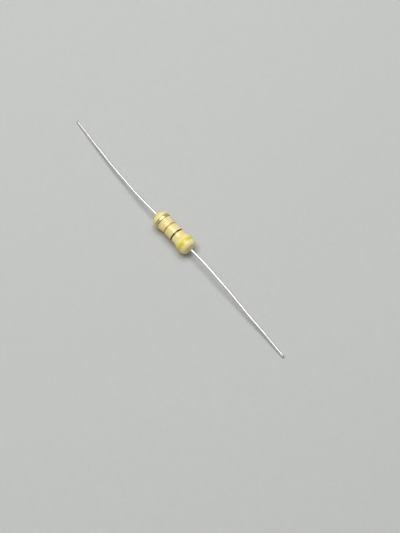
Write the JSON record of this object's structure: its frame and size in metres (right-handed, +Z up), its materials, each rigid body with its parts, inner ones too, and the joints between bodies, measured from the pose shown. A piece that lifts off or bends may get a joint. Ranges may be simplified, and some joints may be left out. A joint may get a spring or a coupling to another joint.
{
  "type": "axial resistor",
  "caption": "Axial carbon-film resistor: a dog-bone lacquered body with painted colour bands and a stiff tinned wire lead welded to the cap at each end.",
  "frame": {"origin": "on the table under the middle of the lacquered body", "axes": "+X along the body towards its first colour band, +Z up from the table that the part lies on"},
  "size_m": [0.0579, 0.0039, 0.0034],
  "materials": {
    "lacquer": "cream epoxy lacquer, glossy",
    "yellow_paint": "yellow enamel band",
    "violet_paint": "very dark violet enamel band",
    "orange_paint": "orange enamel band",
    "gold_paint": "metallic gold paint",
    "tinned_wire": "tinned copper-plated steel wire, bright",
    "cap_steel": "tin-plated pressed steel",
    "alumina": "fired alumina, matt",
    "carbon": "pyrolytic carbon film, dark grey"
  },
  "bodies": {
    "root": {"ceramic_rod": "alumina", "carbon_film": "carbon", "first_cap": "cap_steel", "last_cap": "cap_steel", "first_lead": "tinned_wire", "last_lead": "tinned_wire", "lacquer_coat": "lacquer", "yellow_band": "yellow_paint", "violet_band": "violet_paint", "orange_band": "orange_paint", "gold_band": "gold_paint"}
  },
  "joints": []
}
